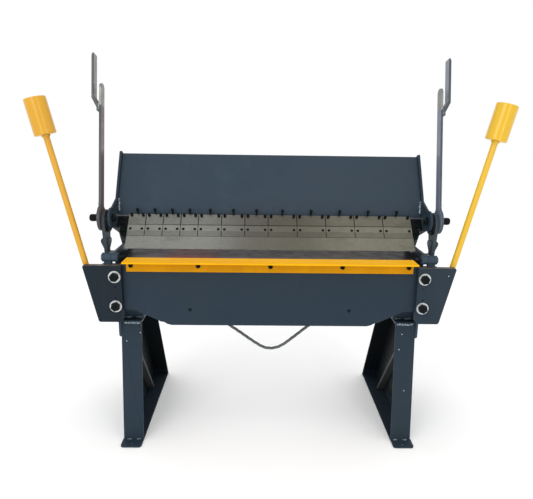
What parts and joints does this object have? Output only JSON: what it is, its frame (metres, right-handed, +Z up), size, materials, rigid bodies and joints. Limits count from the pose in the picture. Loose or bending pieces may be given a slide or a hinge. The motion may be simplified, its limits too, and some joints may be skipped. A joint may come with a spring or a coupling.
{
  "type": "sheet metal brake",
  "caption": "Box-and-pan sheet metal brake with a hinged folding apron, counterweight arms, segmented fingers on a clamping beam, eccentric clamp levers and two stands.",
  "frame": {"origin": "on the floor under the middle of the machine's overall box", "axes": "+X to the operator's right along the bend line, +Y away from the operator, +Z up"},
  "size_m": [1.9318, 0.757, 1.6755],
  "materials": {
    "slate_paint": "dark slate blue-grey enamel",
    "yellow_paint": "glossy yellow enamel",
    "ground_steel": "ground tool steel",
    "polished_bed": "dark polished steel",
    "black_steel": "black oxide",
    "bare_steel": "bare grey steel",
    "zinc": "zinc plated",
    "wire_rope": "stranded wire rope"
  },
  "bodies": {
    "frame": {"bed_beam": "slate_paint", "bed_plate": "polished_bed", "left_apron_stop": "black_steel", "left_beam_pivot_pin": "bare_steel", "left_hinge_pin": "bare_steel", "left_link_pin": "bare_steel", "left_rope_anchor": "zinc", "left_side_frame": "slate_paint", "left_stand": "slate_paint", "left_stand_brace": "slate_paint", "lifting_rope": "wire_rope", "right_apron_stop": "black_steel", "right_beam_pivot_pin": "bare_steel", "right_hinge_pin": "bare_steel", "right_link_pin": "bare_steel", "right_rope_anchor": "zinc", "right_side_frame": "slate_paint", "right_stand": "slate_paint", "right_stand_brace": "slate_paint"},
    "apron": {"apron_plate": "slate_paint", "folding_angle": "yellow_paint", "left_hinge_arm": "slate_paint", "left_ear": "slate_paint", "left_counterweight_arm": "yellow_paint", "left_counterweight": "yellow_paint", "left_upper_ear_bolt": "black_steel", "left_lower_ear_bolt": "black_steel", "right_hinge_arm": "slate_paint", "right_ear": "slate_paint", "right_counterweight_arm": "yellow_paint", "right_counterweight": "yellow_paint", "right_upper_ear_bolt": "black_steel", "right_lower_ear_bolt": "black_steel"},
    "clamping_beam": {"clamp_panel": "slate_paint", "beam_stiffener": "slate_paint", "finger_rail": "slate_paint", "left_beam_end_plate": "slate_paint", "right_beam_end_plate": "slate_paint", "finger_01": "ground_steel", "finger_02": "ground_steel", "finger_03": "ground_steel", "finger_04": "ground_steel", "finger_05": "ground_steel", "finger_06": "ground_steel", "finger_07": "ground_steel", "finger_08": "ground_steel", "finger_09": "ground_steel", "finger_10": "ground_steel", "finger_11": "ground_steel", "finger_12": "ground_steel"},
    "left_lever": {"left_clamp_lever": "slate_paint", "left_lever_grip": "bare_steel", "left_eccentric": "black_steel", "left_eccentric_shaft": "black_steel"},
    "left_link": {"left_clamp_link": "slate_paint"},
    "right_lever": {"right_clamp_lever": "slate_paint", "right_lever_grip": "bare_steel", "right_eccentric": "black_steel", "right_eccentric_shaft": "black_steel"},
    "right_link": {"right_clamp_link": "slate_paint"}
  },
  "joints": [
    {"name": "apron_fold", "type": "hinge", "parent": "frame", "child": "apron", "pos_m": [0, -0.2885, 0.853], "axis": [-1, 0, 0], "range_deg": [0, 108]},
    {"name": "beam_clamp", "type": "hinge", "parent": "frame", "child": "clamping_beam", "pos_m": [0, 0.0715, 0.733], "axis": [1, 0, 0], "range_deg": [0, 5.35]},
    {"name": "left_lever_swing", "type": "hinge", "parent": "clamping_beam", "child": "left_lever", "pos_m": [-0.702, -0.24538, 1.01076], "axis": [1, 0, 0], "range_deg": [0, 90]},
    {"name": "left_link_swing", "type": "hinge", "parent": "left_lever", "child": "left_link", "pos_m": [-0.6915, -0.23124, 0.99661], "axis": [1, 0, 0], "range_deg": [-87, 0]},
    {"name": "right_lever_swing", "type": "hinge", "parent": "clamping_beam", "child": "right_lever", "pos_m": [0.702, -0.24538, 1.01076], "axis": [1, 0, 0], "range_deg": [0, 90]},
    {"name": "right_link_swing", "type": "hinge", "parent": "right_lever", "child": "right_link", "pos_m": [0.6915, -0.23124, 0.99661], "axis": [1, 0, 0], "range_deg": [-87, 0]}
  ],
  "couplings": [
    {"joint": "left_lever_swing", "follows": "beam_clamp", "ratio": 16.8},
    {"joint": "left_link_swing", "follows": "beam_clamp", "ratio": -16.12},
    {"joint": "right_lever_swing", "follows": "beam_clamp", "ratio": 16.8},
    {"joint": "right_link_swing", "follows": "beam_clamp", "ratio": -16.12}
  ]
}
